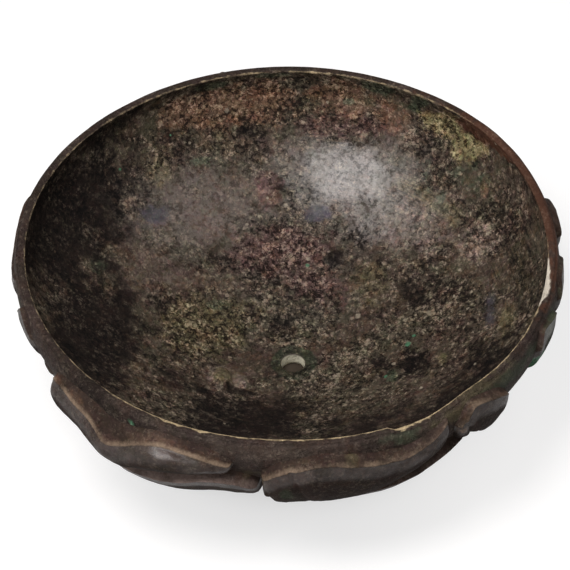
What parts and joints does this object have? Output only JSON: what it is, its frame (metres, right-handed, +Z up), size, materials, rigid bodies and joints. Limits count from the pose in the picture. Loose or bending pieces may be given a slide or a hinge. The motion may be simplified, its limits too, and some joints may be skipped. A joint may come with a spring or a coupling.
{
  "type": "bronze bowl with a relief band",
  "caption": "Shallow round bronze bowl with a worn bevelled rim, a hole through the floor and a band of overlapping high relief bodies round the outer wall.",
  "frame": {"origin": "on the floor, below the middle of the bowl's outer box", "axes": "+Z up, -Y towards the side seen in the picture, +X to its right"},
  "size_m": [0.1556, 0.1596, 0.052],
  "materials": {
    "shell_bronze": "old cast bronze, dark brown outside, pitted brown, olive and green crust inside, rim edge worn to gold",
    "upper_relief_bronze": "smooth dark brown bronze with ridges rubbed to copper",
    "lower_relief_bronze": "dark brown bronze with dull rubbed edges"
  },
  "bodies": {
    "root": {"bowl_shell": "shell_bronze", "upper_relief_front_left": "upper_relief_bronze", "upper_relief_front": "upper_relief_bronze", "upper_relief_front_right": "upper_relief_bronze", "upper_relief_right_1": "upper_relief_bronze", "upper_relief_right_2": "upper_relief_bronze", "upper_relief_right_3": "upper_relief_bronze", "upper_relief_back_right_1": "upper_relief_bronze", "upper_relief_back_right_2": "upper_relief_bronze", "upper_relief_back_left_1": "upper_relief_bronze", "upper_relief_back_left_2": "upper_relief_bronze", "upper_relief_left": "upper_relief_bronze", "lower_relief_front_left": "lower_relief_bronze", "lower_relief_front": "lower_relief_bronze", "lower_relief_right_1": "lower_relief_bronze", "lower_relief_right_2": "lower_relief_bronze", "lower_relief_back_right_1": "lower_relief_bronze", "lower_relief_back_right_2": "lower_relief_bronze", "lower_relief_back_left_1": "lower_relief_bronze", "lower_relief_back_left_2": "lower_relief_bronze", "lower_relief_left": "lower_relief_bronze"}
  },
  "joints": []
}
